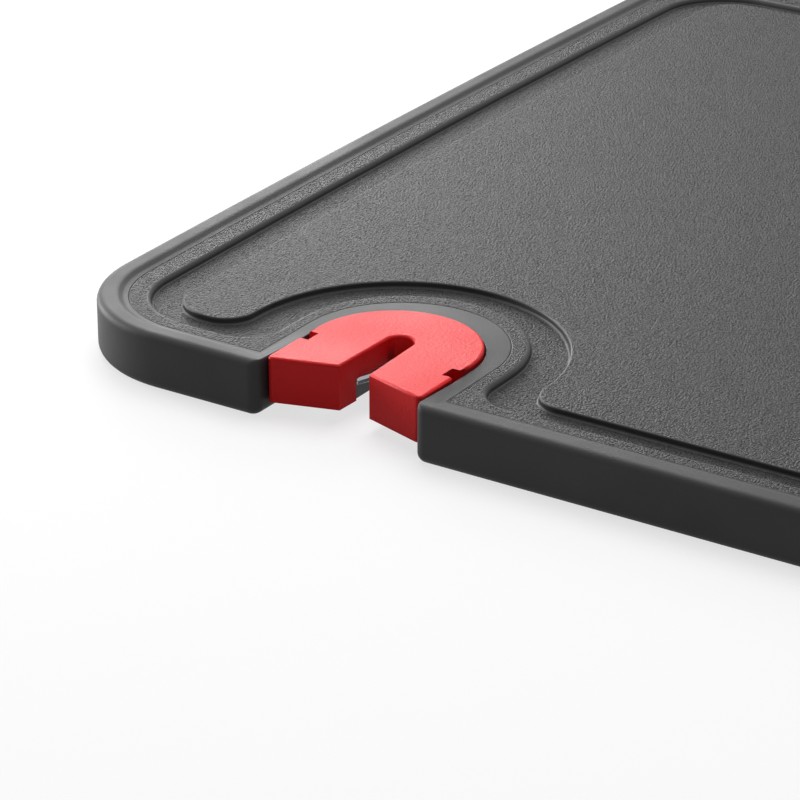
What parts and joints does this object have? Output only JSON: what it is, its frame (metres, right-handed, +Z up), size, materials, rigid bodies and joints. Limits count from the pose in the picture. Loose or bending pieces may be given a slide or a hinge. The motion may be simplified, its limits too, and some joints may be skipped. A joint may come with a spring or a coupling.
{
  "type": "cutting board with built-in knife sharpener",
  "caption": "Flat plastic cutting board with a soft raised rim, a juice groove and a slide-out pull-through knife sharpener in a notch in its front edge.",
  "frame": {"origin": "middle of the footprint, on the worktop that the board lies on", "axes": "+X along the long sides, +Y from the notched front edge to the back edge, +Z up"},
  "size_m": [0.3, 0.2, 0.0092],
  "materials": {
    "plate_plastic": "dark grey polypropylene with a fine leather-like moulded grain",
    "rim_elastomer": "smooth matte dark grey elastomer",
    "housing_plastic": "fine satin red ABS",
    "cover_plastic": "matte dark grey ABS",
    "carbide": "ground tungsten carbide",
    "screw_steel": "plain zinc-plated steel"
  },
  "bodies": {
    "board": {"cutting_plate": "plate_plastic", "soft_rim": "rim_elastomer"},
    "sharpener": {"sharpener_housing": "housing_plastic", "sharpener_cover": "cover_plastic", "left_carbide_blade": "carbide", "right_carbide_blade": "carbide", "cover_screws": "screw_steel"}
  },
  "joints": [
    {"name": "sharpener_slide", "type": "slide", "parent": "board", "child": "sharpener", "axis": [0, -1, 0], "range_m": [0, 0.032]}
  ]
}
